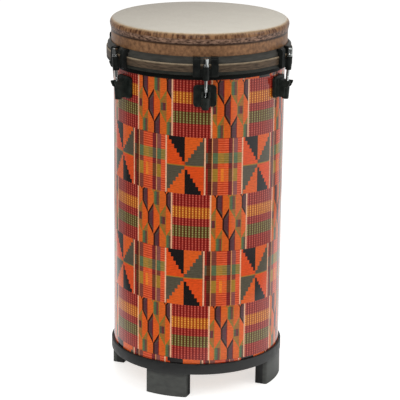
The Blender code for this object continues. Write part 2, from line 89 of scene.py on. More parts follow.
def sealPiece(piece):  # doubles merged, faces outwards, back in object mode
    bpy.ops.mesh.select_all(action="SELECT")
    bpy.ops.mesh.remove_doubles(threshold=0.002 * mm)
    bpy.ops.mesh.normals_make_consistent(inside=False)
    bpy.ops.object.mode_set(mode="OBJECT")
    return piece


def turnPiece(name, profile, steps=240):  # a profile of (radius, height), spun round the drum's axis
    piece = drawOutline(name, [(radius, 0, height) for radius, height in profile], profile[0][0] > 0)
    bpy.ops.mesh.spin(steps=steps, angle=math.tau, center=(0, 0, 0), axis=(0, 0, 1))
    return sealPiece(piece)


def pushPiece(name, outline, push):  # a flat outline filled and pushed into a solid
    piece = drawOutline(name, outline)
    bpy.ops.mesh.edge_face_add()
    bpy.ops.mesh.extrude_region_move(TRANSFORM_OT_translate={"value": Vector(push) * mm})
    return sealPiece(piece)


def roundCorners(corners, steps=4):  # (across, up, radius) corners of a closed outline; radius 0 stays sharp
    outline = []
    for i, (across, up, radius) in enumerate(corners):
        here = Vector((across, up))
        if not radius:
            outline.append(tuple(here))
            continue
        back = (Vector(corners[i - 1][:2]) - here).normalized()
        on = (Vector(corners[(i + 1) % len(corners)][:2]) - here).normalized()
        half = back.angle(on) / 2
        centre = here + (back + on).normalized() * radius / math.sin(half)
        first = here + back * radius / math.tan(half) - centre
        last = here + on * radius / math.tan(half) - centre
        start = math.atan2(first.y, first.x)
        sweep = math.remainder(math.atan2(last.y, last.x) - start, math.tau)
        for step in range(steps + 1):
            angle = start + sweep * step / steps
            outline.append((centre.x + radius * math.cos(angle), centre.y + radius * math.sin(angle)))
    return outline


def arcPoints(across, up, radius, start, end, steps):  # angles in degrees
    angles = [math.radians(start + (end - start) * step / steps) for step in range(steps + 1)]
    return [(across + radius * math.cos(angle), up + radius * math.sin(angle)) for angle in angles]


def applyModifier(piece, kind, **settings):
    selectOnly(piece)
    bpy.ops.object.modifier_add(type=kind)
    step = piece.modifiers[-1]
    for name, value in settings.items():
        setattr(step, name, value)
    bpy.ops.object.modifier_apply(modifier=step.name)


def combinePieces(piece, joined=(), cut=()):
    for operation, others in (("UNION", joined), ("DIFFERENCE", cut)):
        for other in others:
            applyModifier(piece, "BOOLEAN", operation=operation, object=other)
            bpy.data.objects.remove(other)
    return piece


def castSkin(piece, grain, passes):  # a casting's soft edges: an even skin, then smoothed
    applyModifier(piece, "REMESH", mode="VOXEL", voxel_size=grain * mm)
    applyModifier(piece, "SMOOTH", factor=0.5, iterations=passes)
    return piece


def smoothShade(piece, angle=35):
    selectOnly(piece)
    bpy.ops.object.shade_smooth_by_angle(angle=math.radians(angle))
    return piece


def ringPiece(name, face, back, low, high, ring):  # oblong in section; its rounds start at the outer top edge
    corners = list(zip((face, face, back, back), (high, low, low, high), ring["rounds"]))
    return smoothShade(turnPiece(name, roundCorners(corners), ring["steps"]))


def dressPiece(piece, body, slot, material, *nodes):
    piece.data.materials.clear()
    piece.data.materials.append(material)
    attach(piece, body)
    if nodes:
        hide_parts(*nodes)
    return piece


# Materials


def hexColour(code):  # an sRGB hex value as linear colour
    parts = [int(code[i : i + 2], 16) / 255 for i in (0, 2, 4)]
    linear = [part / 12.92 if part <= 0.04045 else ((part + 0.055) / 1.055) ** 2.4 for part in parts]
    return (*linear, 1.0)


def addNode(tree, kind, inputs=(), operation=None, stops=None):  # inputs: a list, or a dictionary by socket
    node = tree.nodes.new("ShaderNode" + kind)
    if operation:
        node.operation = operation
    for socket, value in inputs.items() if isinstance(inputs, dict) else enumerate(inputs):
        if isinstance(value, bpy.types.Node):
            value = value.outputs[0]
        if isinstance(value, bpy.types.NodeSocket):
            tree.links.new(value, node.inputs[socket])
        else:
            node.inputs[socket].default_value = value
    if stops:  # a ramp's (place, colour) stops
        node.color_ramp.interpolation = "CONSTANT"
        while len(node.color_ramp.elements) < len(stops):
            node.color_ramp.elements.new(1.0)
        for element, (place, colour) in zip(node.color_ramp.elements, stops):
            element.position = place
            element.color = colour
    return node


def startMaterial(name):
    material = bpy.data.materials.new(name)
    material.use_nodes = True
    tree = material.node_tree
    add = partial(addNode, tree)
    place = add("TexCoord").outputs["Object"]
    return material, tree, add, tree.nodes["Principled BSDF"], place


# Printed laminate: a strip-woven cloth print under clear plastic, so bright flat colour under a hard gloss
cloth = {
    "repeatsRound": 7,
    "rowHeight": 97.5,
    "rowEdge": 67.7,  # height of one edge between rows
    "askew": (0.0377, -0.0172, 1.0),  # the cloth lies tilted by two degrees
    "plaidStart": -106.4,  # along the wrap from the front, where a plaid and braid row starts
    "stairStart": -116.6,  # the same for a stair and stripe row
    "lineWidth": 2.5,
    "blockWidth": 64.0,
    "slub": 6.0,  # thread by thread the print is a little lighter and darker
    "slubShade": (0.84, 1.12),
    "threadPitch": 3.0,
    "threadWidth": 1.0,
    "threadShade": -0.16,
    "wave": 45.0,  # the sheet is never quite flat
    "waveHeight": 1.5,
    "waveStrength": 0.12,
}
dye = {
    "orange": "E25E1A",
    "flame": "E24E12",
    "marigold": "DC621E",
    "straw": "DE9A60",
    "honey": "F4A440",
    "sienna": "A44404",
    "gold": "F08228",
    "ochre": "A4682A",
    "bronze": "A47C28",
    "moss": "8E7630",
    "leaf": "546C4A",
    "slate": "565040",
    "cream": "F2B892",
    "sage": "9C9456",
    "umber": "54300A",
    "brick": "C85644",
    "garnet": "7E0A04",
    "claret": "560A05",
    "coral": "E6501E",
    "mauve": "8A4A46",
    "wine": "761A20",
    "crimson": "9E180F",
    "oxblood": "66100D",
    "plum": "6C2E30",
    "maroon": "5A343A",
    "rust": "7C3C30",
    "brown": "6E4020",
    "soot": "34120A",
    "ink": "1A1412",
}
dye = {name: hexColour(code) for name, code in dye.items()}

plaid = {
    "bandEdges": (0.0, 21.5, 41.0, 54.5, 74.5),
    "ground": ("garnet", "sienna", "garnet", "umber", "garnet"),
    "lines": ("brick", "honey", "brick", "sage", "brick"),
    "warpPitch": 5.53,
    "lineHalf": 1.2166,
    "weftPitch": 4.0,
    "betweenBeads": 0.4,  # how strongly a line shows between its beads
    "bead": 0.6,  # and how much more at a bead
}


def paintPlaid(add, across, down):  # weft bands on a dark ground, bright along beaded warp lines
    warpPitch, weftPitch = plaid["warpPitch"], plaid["weftPitch"]
    share = add("Math", [down, cloth["rowHeight"]], "DIVIDE")
    ramps = []
    for tints in (plaid["ground"], plaid["lines"]):
        stops = [(edge / cloth["rowHeight"], dye[name]) for edge, name in zip(plaid["bandEdges"], tints)]
        ramps.append(add("ValToRGB", [share], stops=stops))
    warp = add("Math", [across, warpPitch], "FLOORED_MODULO")
    isLine = add("Math", [warp, warpPitch / 2, plaid["lineHalf"]], "COMPARE")
    weft = add("Math", [down, weftPitch], "FLOORED_MODULO")
    isBead = add("Math", [weft, weftPitch / 2], "LESS_THAN")
    beadShare = add("Math", [isBead, plaid["bead"], plaid["betweenBeads"]], "MULTIPLY_ADD")
    lineShare = add("Math", [beadShare, isLine], "MULTIPLY")
    return add("MixRGB", [lineShare, *ramps])


braid = {
    "columnWidth": 11.6,
    "startShift": -2.2,  # of the first column from the block's edge
    "period": 73.0,
    "first": 14.0,  # middle of the first flag, down from the row's edge
    "shortHalf": 9.2,  # half a flag's height at its left
    "longHalf": 28.3,  # and at its right
    "solid": ((0.0, "soot"), (0.26, "maroon"), (0.84, "wine")),
    "solidRim": 5.6,
    "endReach": 0.45,  # a solid flag goes grey towards its ends
    "endTint": 0.55,
    "openRim": 6.0,
    "leafPatch": ((0.0, "moss"), (0.14, "leaf"), (0.44, "slate"), (0.64, "rust"), (0.88, "moss")),
    "leafHalf": 11.5,
    "darkPatch": ((0.0, "moss"), (0.14, "slate"), (0.45, "plum"), (0.88, "moss")),
    "darkHalf": 6.5,
}


def paintBraid(add, across, down):  # slanted flags in staggered columns that read as plaited strands
    period, shortHalf, leafHalf = braid["period"], braid["shortHalf"], braid["leafHalf"]
    start = cloth["blockWidth"] + cloth["lineWidth"] / 2 + braid["startShift"]
    columns = add("Math", [across, start], "SUBTRACT")
    columns = add("Math", [columns, braid["columnWidth"]], "DIVIDE")
    number = add("Math", [columns], "FLOOR")
    inside = add("Math", [columns], "FRACT")
    stagger = add("Math", [number, 1.0], "ADD")
    stagger = add("Math", [stagger, 2.0], "FLOORED_MODULO")
    level = add("Math", [down, braid["first"]], "SUBTRACT")
    level = add("Math", [level, period], "DIVIDE")
    level = add("Math", [stagger, -0.5, level], "MULTIPLY_ADD")
    nearest = add("Math", [level], "ROUND")
    off = add("Math", [level, nearest], "SUBTRACT")
    off = add("Math", [off], "ABSOLUTE")
    off = add("Math", [off, period], "MULTIPLY")
    reach = add("Math", [inside, braid["longHalf"] - shortHalf, shortHalf], "MULTIPLY_ADD")
    toEdge = add("Math", [reach, off], "SUBTRACT")
    # Strands run down to the right, one column for each half period, and every other one is solid
    step = add("Math", [nearest, 2.0, stagger], "MULTIPLY_ADD")
    strand = add("Math", [number, step], "SUBTRACT")
    strand = add("Math", [strand, 4.0], "FLOORED_MODULO")
    isSolid = add("Math", [strand, 2.0], "LESS_THAN")
    ramps = []
    for key in ("solid", "leafPatch", "darkPatch"):
        stops = [(place, dye[name]) for place, name in braid[key]]
        ramps.append(add("ValToRGB", [inside], stops=stops))
    solid, *patches = ramps
    isEnd = add("Math", [reach, braid["endReach"]], "MULTIPLY")
    isEnd = add("Math", [toEdge, isEnd], "LESS_THAN")
    isEnd = add("Math", [isEnd, braid["endTint"]], "MULTIPLY")
    solid = add("MixRGB", [isEnd, solid, dye["slate"]])
    isRim = add("Math", [toEdge, braid["solidRim"]], "LESS_THAN")
    solid = add("MixRGB", [isRim, solid, dye["soot"]])
    patch = add("MixRGB", [stagger, *patches])
    patchHalf = add("Math", [stagger, braid["darkHalf"] - leafHalf, leafHalf], "MULTIPLY_ADD")
    isPatch = add("Math", [off, patchHalf], "LESS_THAN")
    isRim = add("Math", [toEdge, braid["openRim"]], "LESS_THAN")
    filling = add("MixRGB", [isRim, dye["ochre"], dye["moss"]])
    filling = add("MixRGB", [isPatch, filling, patch])
    flag = add("MixRGB", [isSolid, filling, solid])
    ground = add("MixRGB", [stagger, dye["orange"], dye["marigold"]])
    isFlag = add("Math", [toEdge, 0.0], "GREATER_THAN")
    return add("MixRGB", [isFlag, ground, flag])


stairs = {"steps": 7, "inkStart": 0.147, "inkGrowth": 0.98, "slateStart": 0.92, "slateGrowth": -1.05,
          "middleLine": 0.8}


def paintStairs(add, across, down):  # stepped triangles, the lower half the upper one turned half round
    width, height, steps = cloth["blockWidth"], cloth["rowHeight"], stairs["steps"]
    isLower = add("Math", [down, height / 2], "GREATER_THAN")
    flip = add("Math", [isLower, -2.0, 1.0], "MULTIPLY_ADD")
    x = add("Math", [across, width / 2], "SUBTRACT")
    x = add("Math", [x, flip, width / 2], "MULTIPLY_ADD")
    y = add("Math", [down, height / 2], "SUBTRACT")
    y = add("Math", [y, flip, height / 2], "MULTIPLY_ADD")
    isRight = add("Math", [x, width / 2], "GREATER_THAN")
    half = add("Math", [x, 2.0 / width], "MULTIPLY")
    half = add("Math", [half], "FRACT")
    stair = add("Math", [y, 2.0 * steps / height], "MULTIPLY")
    stair = add("Math", [stair], "FLOOR")
    stair = add("Math", [stair, 1.0 / steps], "MULTIPLY")
    edge = add("Math", [stair, stairs["inkGrowth"], stairs["inkStart"]], "MULTIPLY_ADD")
    isInk = add("Math", [half, edge], "GREATER_THAN")
    left = add("MixRGB", [isInk, dye["flame"], dye["ink"]])
    edge = add("Math", [stair, stairs["slateGrowth"], stairs["slateStart"]], "MULTIPLY_ADD")
    isSlate = add("Math", [half, edge], "GREATER_THAN")
    right = add("MixRGB", [isSlate, dye["orange"], dye["slate"]])
    colour = add("MixRGB", [isRight, left, right])
    isMiddle = add("Math", [y, height / 2 - stairs["middleLine"]], "GREATER_THAN")
    return add("MixRGB", [isMiddle, colour, dye["bronze"]])


stripes = {
    "edges": (0.0, 3.4, 9.8, 11.4, 20.2, 31.0, 38.8, 45.9, 47.5, 55.0),
    "base": ("crimson", "claret", "straw", "rust", "flame", "coral", "wine", "straw", "mauve", "coral"),
    "bands": {"green": (25.0, 43.0), "red": (43.0, 52.0), "gold": (52.0, 74.0)},  # weft bands, from and to
    "green": ("slate", "umber", "straw", "leaf", "bronze", "moss", "slate", "straw", "leaf", "moss"),
    "red": ("oxblood", "claret", "straw", "rust", "flame", "coral", "wine", "straw", "rust", "coral"),
    "gold": ("crimson", "umber", "straw", "bronze", "flame", "orange", "brown", "straw", "bronze", "coral"),
    "panelEdges": (0, 4, 6, 9),  # the edges where the orange panels are in turn off and on
    "weftPitch": 3.9,
    "weftWidth": 1.8,
    "weftTint": 0.5,
    "weftFree": 26.0,  # half the height that the red weft lines leave free
    "paleTint": 0.03,
    "palePanel": 0.08,
    "barPlace": (28.0, 63.0),
    "barHalf": (2.6, 11.0),
}


def paintStripes(add, across, down):  # warp stripes with green and red weft bands and one gold bar
    width, height, edges = cloth["blockWidth"], cloth["rowHeight"], stripes["edges"]
    share = add("Math", [across, width], "DIVIDE")
    stops = [(edge / width, dye[name]) for edge, name in zip(edges, stripes["base"])]
    colour = add("ValToRGB", [share], stops=stops)
    for key, (low, high) in stripes["bands"].items():
        stops = [(edge / width, dye[name]) for edge, name in zip(edges, stripes[key])]
        band = add("ValToRGB", [share], stops=stops)
        isBand = add("Math", [down, (low + high) / 2, (high - low) / 2], "COMPARE")
        colour = add("MixRGB", [isBand, colour, band])
    # Fine weft lines: red ones over the orange panels, above and below, and faint pale ones between
    off, on = (0, 0, 0, 1), (1, 1, 1, 1)
    stops = [(edges[i] / width, state) for i, state in zip(stripes["panelEdges"], (off, on, off, on))]
    isPanel = add("ValToRGB", [share], stops=stops)
    isFree = add("Math", [down, height / 2, stripes["weftFree"]], "COMPARE")
    weft = add("Math", [down, stripes["weftPitch"]], "FLOORED_MODULO")
    isWeft = add("Math", [weft, stripes["weftWidth"]], "LESS_THAN")
    lines = add("Math", [isWeft, isFree], "GREATER_THAN")  # on a weft line and not in the free height
    lines = add("Math", [lines, isPanel], "MULTIPLY")
    lines = add("Math", [lines, stripes["weftTint"]], "MULTIPLY")
    colour = add("MixRGB", [lines, colour, dye["crimson"]])
    pale = add("Math", [isPanel, stripes["palePanel"], stripes["paleTint"]], "MULTIPLY_ADD")
    isGap = add("Math", [1.0, isWeft], "SUBTRACT")
    pale = add("Math", [pale, isGap], "MULTIPLY")
    colour = add("MixRGB", [pale, colour, dye["cream"]])
    # The gold bar in the middle of the wide panel
    isBar, isRow = (
        add("Math", [line, centre, half], "COMPARE")
        for line, centre, half in zip((across, down), stripes["barPlace"], stripes["barHalf"])
    )
    isBar = add("Math", [isBar, isRow], "MULTIPLY")
    return add("MixRGB", [isBar, colour, dye["gold"]])


def printedLaminate(wrapRadius):
    material, tree, add, shader, place = startMaterial("printedLaminate")
    parts = add("SeparateXYZ", [place])
    ahead = add("Math", [parts.outputs["Y"], -1.0], "MULTIPLY")
    angle = add("Math", [parts.outputs["X"], ahead], "ARCTAN2")
    along = add("Math", [angle, wrapRadius], "MULTIPLY")
    height = add("VectorMath", [place, cloth["askew"]], "DOT_PRODUCT").outputs["Value"]
    height = add("Math", [height, 1 / mm], "MULTIPLY")
    repeat = math.tau * wrapRadius / cloth["repeatsRound"]
    lift = add("Math", [height, cloth["rowEdge"]], "SUBTRACT")
    up = add("Math", [lift, cloth["rowHeight"]], "FLOORED_MODULO")
    down = add("Math", [cloth["rowHeight"], up], "SUBTRACT")
    row = add("Math", [lift, cloth["rowHeight"]], "DIVIDE")
    row = add("Math", [row], "FLOOR")
    isStairRow = add("Math", [row, 2.0], "FLOORED_MODULO")
    lineHalf = cloth["lineWidth"] / 2
    rows = []
    blocks = ((cloth["plaidStart"], paintPlaid, paintBraid), (cloth["stairStart"], paintStairs, paintStripes))
    for start, paintFirst, paintSecond in blocks:
        across = add("Math", [along, start], "SUBTRACT")
        across = add("Math", [across, repeat], "FLOORED_MODULO")
        isSecond = add("Math", [across, repeat / 2], "GREATER_THAN")
        second = across
        if paintSecond is paintStripes:
            second = add("Math", [across, repeat / 2 + lineHalf], "SUBTRACT")
        painted = paintFirst(add, across, down), paintSecond(add, second, down)
        colour = add("MixRGB", [isSecond, *painted])
        # A pale line down each block's edge
        offLine = add("Math", [across, repeat / 2], "PINGPONG")
        toStart = add("Math", [offLine, lineHalf], "LESS_THAN")
        toMiddle = add("Math", [offLine, repeat / 2 - lineHalf], "GREATER_THAN")
        isLine = add("Math", [toStart, toMiddle], "MAXIMUM")
        rows.append(add("MixRGB", [isLine, colour, dye["cream"]]))
    colour = add("MixRGB", [isStairRow, *rows])
    # Woven shading, drawn coarse enough to show
    threads = add("Mapping", {"Vector": place, "Scale": (1.0, 1.0, 3.0)})
    slub = add("TexNoise", {"Vector": threads, "Scale": 1 / (cloth["slub"] * mm), "Detail": 3.0})
    darkest, lightest = cloth["slubShade"]
    shade = add("MapRange", {
        "Value": slub, "From Min": 0.3, "From Max": 0.7, "To Min": darkest, "To Max": lightest})
    weft = add("Math", [down, cloth["threadPitch"]], "FLOORED_MODULO")
    isWeft = add("Math", [weft, cloth["threadWidth"]], "LESS_THAN")
    shade = add("Math", [isWeft, cloth["threadShade"], shade], "MULTIPLY_ADD")
    shaded = add("VectorMath", [colour, shade], "MULTIPLY")
    tree.links.new(shaded.outputs[0], shader.inputs["Base Color"])
    shader.inputs["Roughness"].default_value = 0.5
    shader.inputs["Specular IOR Level"].default_value = 0.05
    shader.inputs["Coat Weight"].default_value = 1.0
    shader.inputs["Coat Roughness"].default_value = 0.08
    shader.inputs["Coat IOR"].default_value = 1.45
    wave = add("TexNoise", {"Vector": place, "Scale": 1 / (cloth["wave"] * mm), "Detail": 1.0})
    ripple = add("Bump", {
        "Height": wave, "Strength": cloth["waveStrength"], "Distance": cloth["waveHeight"] * mm})
    tree.links.new(ripple.outputs[0], shader.inputs["Coat Normal"])
    return material


# Polyester film made to look like skin: pale and faintly fibrous on top, then a pleated rust-brown rim, a
# band of grey-brown grain down to the crease, and a leather-brown collar
skin = {
    "paleAbove": 631.5,
    "pleatsAbove": 623.2,
    "crease": 613.1,
    "pale": ("A89F90", "DAD3C4"),
    "paintedLightToward": (0.1, -1.0, 0.0),  # painted light: the pale hide is painted lighter this way across the head, towards the front
    "paleFrom": -110.0,
    "paleTo": 180.0,
    "cloud": 30.0,  # its clouds: how large they are, and how far they shift that
    "cloudShift": 80.0,
    "rim": "C4A680",
    "pleats": ("502E1A", "9E744E"),
    "grain": ("3A241A", "A07E68"),
    "collar": ("684832", "A67A54"),
    # Each zone's noise: its grain in millimetres, its stretch upwards, and how softly its two tints part
    "noise": {"pleats": (4.2, 9.0, 0.13), "grain": (6.0, 0.35, 0.14), "collar": (5.5, 1.0, 0.24)},
    "ragged": 0.4,  # how far the pleats pull the zones' edges up and down
    "creaseShadeTint": "2C1B10",
    "creasePaintedShade": (0.6, 3.0, 0.9),  # painted shade along the crease: how far it is full, where it ends, and how strong it is
}


def skinFilm():
    material, tree, add, shader, place = startMaterial("skinLookFilm")
    height = add("SeparateXYZ", [place]).outputs["Z"]
    height = add("Math", [height, 1 / mm], "MULTIPLY")
    looks = {}
    for zone, (size, stretch, soft) in skin["noise"].items():
        stretched = add("Mapping", {"Vector": place, "Scale": (1.0, 1.0, 1 / stretch)})
        noise = add("TexNoise", {"Vector": stretched, "Scale": 1 / (size * mm), "Detail": 4.0})
        share = add("MapRange", {"Value": noise, "From Min": 0.5 - soft, "From Max": 0.5 + soft})
        tints = [hexColour(code) for code in skin[zone]]
        looks[zone] = share, add("MixRGB", [share, *tints])
    pleat = looks["pleats"][0]
    # Painted light: the pale tints are painted lighter towards the front of the head, shifted by clouds
    across = add("VectorMath", [place, skin["paintedLightToward"]], "DOT_PRODUCT").outputs["Value"]
    cloud = add("TexNoise", {"Vector": place, "Scale": 1 / (skin["cloud"] * mm), "Detail": 5.0})
    cloudAndPaintedLight = add("Math", [cloud, skin["cloudShift"] * mm, across], "MULTIPLY_ADD")
    low, high = skin["paleFrom"] * mm, skin["paleTo"] * mm
    cloudAndPaintedLight = add("MapRange", {"Value": cloudAndPaintedLight, "From Min": low, "From Max": high})
    pale = add("MixRGB", [cloudAndPaintedLight, *[hexColour(code) for code in skin["pale"]]])
    ragged = add("Math", [pleat, skin["ragged"], height], "MULTIPLY_ADD")
    colour = looks["collar"][1]
    for level, start, soft, tint in (  # upwards from the collar, where a zone starts and how softly
        (height, skin["crease"], 0.8, looks["grain"][1]),
        (ragged, skin["pleatsAbove"], 1.5, looks["pleats"][1]),
        (ragged, skin["paleAbove"] - 1.3, 1.7, hexColour(skin["rim"])),
        (ragged, skin["paleAbove"] + 0.2, 0.9, pale),
    ):
        low, high = start - soft, start + soft
        share = add("MapRange", {"Value": level, "From Min": low, "From Max": high})
        colour = add("MixRGB", [share, colour, tint])
    # Painted shade: the film is darkened along the crease
    full, end, deepest = skin["creasePaintedShade"]
    offCrease = add("Math", [height, skin["crease"]], "SUBTRACT")
    offCrease = add("Math", [offCrease], "ABSOLUTE")
    creaseShadeShare = add("MapRange", {
        "Value": offCrease, "From Min": full, "From Max": end, "To Min": deepest, "To Max": 0.0})
    colour = add("MixRGB", [creaseShadeShare, colour, hexColour(skin["creaseShadeTint"])])
    tree.links.new(colour.outputs[0], shader.inputs["Base Color"])
    gloss = add("MapRange", {"Value": looks["collar"][0], "To Min": 0.3, "To Max": 0.42})
    tree.links.new(gloss.outputs[0], shader.inputs["Roughness"])
    shader.inputs["Specular IOR Level"].default_value = 0.3
    bump = add("Bump", {"Height": pleat, "Strength": 0.25, "Distance": 0.3 * mm})
    tree.links.new(bump.outputs[0], shader.inputs["Normal"])
    return material


# A coat with cloudy colour, uneven gloss and a fine grit. Patch and grit are sizes in millimetres, lying
# flattens the clouds into streaks round the drum, and a lighter zone is given as (from height, to height, from
# radius, tint)
def coatedMaterial(
    name, tints, patch, rough, grit, relief, metallic=0.0, specular=0.2, lying=1.0, lighterZone=None, fade=1.5
):
    material, tree, add, shader, place = startMaterial(name)
    flat = add("Mapping", {"Vector": place, "Scale": (1.0, 1.0, lying)})
    cloud = add("TexNoise", {"Vector": flat, "Scale": 1 / (patch * mm), "Detail": 4.0})
    cloud = add("MapRange", {"Value": cloud, "From Min": 0.3, "From Max": 0.7})
    colour = add("MixRGB", [cloud, *[hexColour(tint) for tint in tints]])
    # A patchy lighter tint in a zone: on the hoop's band it is a painted highlight, on the feet a painted
    # sheen
    if lighterZone:
        height = add("SeparateXYZ", [place]).outputs["Z"]
        low, high, face, tint = lighterZone
        share = add("MapRange", {"Value": height, "From Min": low * mm, "From Max": high * mm})
        spread = add("VectorMath", [place, (1.0, 1.0, 0.0)], "MULTIPLY")
        spread = add("VectorMath", [spread], "LENGTH").outputs["Value"]
        low, high = (face - fade) * mm, face * mm
        outer = add("MapRange", {"Value": spread, "From Min": low, "From Max": high})
        share = add("Math", [share, outer], "MULTIPLY")
        patchy = add("MapRange", {"Value": cloud, "To Min": 0.5})
        share = add("Math", [share, patchy], "MULTIPLY")
        colour = add("MixRGB", [share, colour, hexColour(tint)])
    tree.links.new(colour.outputs[0], shader.inputs["Base Color"])
    gloss = add("MapRange", {"Value": cloud, "To Min": rough[0], "To Max": rough[1]})
    tree.links.new(gloss.outputs[0], shader.inputs["Roughness"])
    grain = add("TexNoise", {"Vector": place, "Scale": 1 / (grit * mm), "Detail": 2.0})
    bump = add("Bump", {"Height": grain, "Strength": 0.3, "Distance": relief * mm})
    tree.links.new(bump.outputs[0], shader.inputs["Normal"])
    shader.inputs["Metallic"].default_value = metallic
    if not metallic:
        shader.inputs["Specular IOR Level"].default_value = specular
    return material


# Powder-coated steel, the claws: near black, satin, with a slight orange peel
powderCoat = coatedMaterial(
    "blackPowderCoat", ("121413", "232624"), 9, (0.32, 0.44), 1.4, 0.10, specular=0.16)
# Baked enamel on zinc castings, the lugs: black, satin, painted a little greyer than the claws as a painted
# sheen
lugCoatSheen = coatedMaterial(
    "blackLugCoatSheen", ("181C1A", "2A2F2B"), 9, (0.34, 0.46), 1.4, 0.10, specular=0.16)
# Satin black steel, the hoop: a patchy lighter grey above the band
satinSteel = coatedMaterial(
    "satinBlackSteel", ("20221F", "33352F"), 16, (0.4, 0.55), 1.6, 0.08, lying=4.0,
    lighterZone=(582.0, 584.0, 100.0, "4A4843"))
# Bronze enamel on the hoop's band: warm grey brown in faint streaks, its top edge painted with a pale line, a
# painted highlight
bronzeEnamel = coatedMaterial(
    "bronzeEnamel", ("3C3228", "665544"), 12, (0.36, 0.5), 1.8, 0.08, lying=5.0,
    lighterZone=(580.2, 582.2, 100.0, "A8967C"))
# Extruded vinyl trim: black, smooth, satin
vinylTrim = coatedMaterial("blackVinyl", ("0B0D0C", "171A18"), 20, (0.4, 0.55), 2.5, 0.05, specular=0.1)
# Moulded rubber: near black and matt round the ring; the feet's outer faces are painted grey, a painted sheen
mouldedRubber = coatedMaterial(
    "mouldedRubber", ("131413", "242524"), 14, (0.42, 0.6), 1.2, 0.22, specular=0.5, lying=2.0,
    lighterZone=(44.0, 34.0, 144.0, "484A46"))
# Bright chrome plate: mirror grey, with faint haze from handling
brightChrome = coatedMaterial("brightChrome", ("B6BAB8", "CDD0CE"), 6, (0.08, 0.2), 3.0, 0.01, 1.0)
# Zinc-plated steel: pale grey, cloudy, dull shine
zincPlate = coatedMaterial("zincPlate", ("9A9C9C", "B4B5B2"), 4, (0.32, 0.5), 0.8, 0.03, 1.0)
# Turned brass: yellow, with fine tool marks
turnedBrass = coatedMaterial("turnedBrass", ("B08A44", "C8A35A"), 5, (0.26, 0.4), 0.5, 0.03, 1.0, lying=6.0)
# Pressed wood fibre: brown, matt, speckled with fibre ends
pressedFibre = coatedMaterial("pressedFibre", ("4A3524", "6B4E36"), 3, (0.7, 0.86), 0.9, 0.2)
# Fibreboard: tan, matt, finely speckled
fibreBoard = coatedMaterial("fibreBoard", ("8A6A47", "A5835C"), 2.5, (0.74, 0.88), 0.7, 0.18)
# Wound kraft paper: brown tube stock, matt, with soft blotches
woundPaper = coatedMaterial("woundKraftPaper", ("7A5C3E", "94724F"), 12, (0.72, 0.86), 0.8, 0.12, lying=2.0)
print("materials:", len(bpy.data.materials))


# Shell wrap

wrap = {"sheet": 0.5, "rounds": (0, 0, 0, 0), "steps": 288}
low, high = boxOf("shell_wrap")
wrapRadius = high.x
shellWrap = ringPiece("shellWrap", wrapRadius, wrapRadius - wrap["sheet"], low.z, high.z, wrap)
dressPiece(shellWrap, "drum", "wrap", printedLaminate(wrapRadius), "shell_wrap")

# Trim band over the wrap's upper edge

trim = {"wall": 2.0, "rounds": (0.8, 0.8, 0.3, 0.3), "steps": 240}
low, high = boxOf("upper_trim_band")
upperTrim = ringPiece("upperTrim", high.x, high.x - trim["wall"], low.z, high.z, trim)
dressPiece(upperTrim, "drum", "rubber", vinylTrim, "upper_trim_band")

# Drumhead

film = {"sheet": 0.6, "beadRound": 9.4, "beadSteps": 12, "collarStep": 2.3, "creaseDrop": 19.9, "tuck": 1.4,
        "steps": 288}
low, high = boxOf("head_film")
collar = high.x - film["collarStep"]
crease = high.z - film["creaseDrop"]
beadAcross, beadUp = high.x - film["beadRound"], high.z - film["beadRound"]
outside = arcPoints(beadAcross, beadUp, film["beadRound"], 90, 0, film["beadSteps"])
inside = arcPoints(beadAcross, beadUp, film["beadRound"] - film["sheet"], 0, 90, film["beadSteps"])
tuck = film["tuck"]  # the crease is a soft turn of this length each way
outline = [
    (0, high.z),
    (beadAcross / 2, high.z),
    *outside,
    (collar + 0.45, crease + tuck),
    (collar + 0.1, crease + 0.2),
    (collar, crease - tuck),
    (collar, low.z),
    (collar - film["sheet"], low.z),
    (collar - film["sheet"], crease - tuck),
    *inside,
    (0, high.z - film["sheet"]),
]
headFilm = smoothShade(turnPiece("headFilm", outline, film["steps"]), 50)
dressPiece(headFilm, "drum", "head", skinFilm(), "head_film")

# Tuning hoop and its band

hoop = {"rimGap": 0.5, "rimWidth": 1.2, "crownDrop": 4.5, "lipWidth": 1.7, "lipHeight": 5.2, "wall": 2.7,
        "flange": 8.0, "steps": 240}
low, high = boxOf("tuning_hoop")
hoopLow, hoopHigh = low.z, high.z
rim = collar + hoop["rimGap"]
neck = high.x - hoop["lipWidth"]
bore = neck - hoop["wall"]
outline = roundCorners([
    (rim, high.z, 0.4),
    (rim + hoop["rimWidth"], high.z, 0.8),
    (neck, high.z - hoop["crownDrop"], 1.2),
    (neck, low.z + hoop["lipHeight"], 0.2),
    (high.x, low.z + hoop["lipHeight"], 0.4),
    (high.x, low.z, 1.0),
    (bore, low.z, 0.5),
    (bore, high.z - hoop["flange"], 0.2),
    (rim, high.z - hoop["flange"], 0.4),
])
tuningHoop = smoothShade(turnPiece("tuningHoop", outline, hoop["steps"]))
dressPiece(tuningHoop, "hoop", "black_steel", satinSteel, "tuning_hoop")

band = {"wall": 1.7, "rounds": (0.5, 0.4, 0.2, 0.2), "steps": 240}
low, high = boxOf("hoop_band")
bandFace, bandTop = high.x, high.z
hoopBand = ringPiece("hoopBand", bandFace, bandFace - band["wall"], low.z, bandTop, band)
dressPiece(hoopBand, "hoop", "hoop_band", bronzeEnamel, "hoop_band")
print("turned pieces done")

# Foot ring: a turned ring with feet moulded on, round outside and straight at the sides and back

